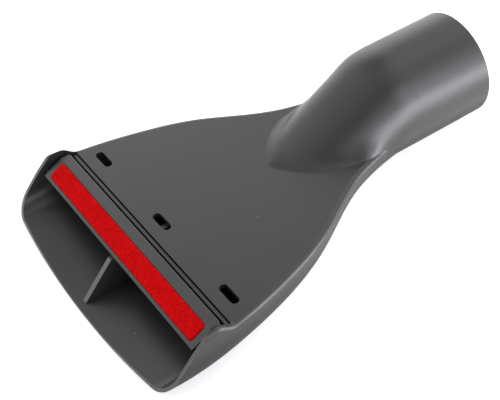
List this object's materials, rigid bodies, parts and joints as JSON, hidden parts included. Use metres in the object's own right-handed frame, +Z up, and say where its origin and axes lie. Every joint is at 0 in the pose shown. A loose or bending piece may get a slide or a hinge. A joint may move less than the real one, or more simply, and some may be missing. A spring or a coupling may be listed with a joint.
{
  "type": "vacuum cleaner upholstery nozzle",
  "caption": "Flat flared vacuum upholstery nozzle with a slanted mouth, a centre rib, bleed slots, a clip-in velvet lint strip and a round hose socket.",
  "frame": {"origin": "middle of the bottom of the whole nozzle's box, on the surface it lies on", "axes": "+Z up, square to the flat plate with the slots; +Y from the mouth to the open end of the tube; X across the mouth"},
  "size_m": [0.1092, 0.1612, 0.0393],
  "materials": {
    "shell": "satin",
    "frame": "satin",
    "pile": "velvet"
  },
  "bodies": {
    "root": {"nozzle_body": "shell", "strip_carrier": "frame", "lint_strip": "pile"}
  },
  "joints": []
}
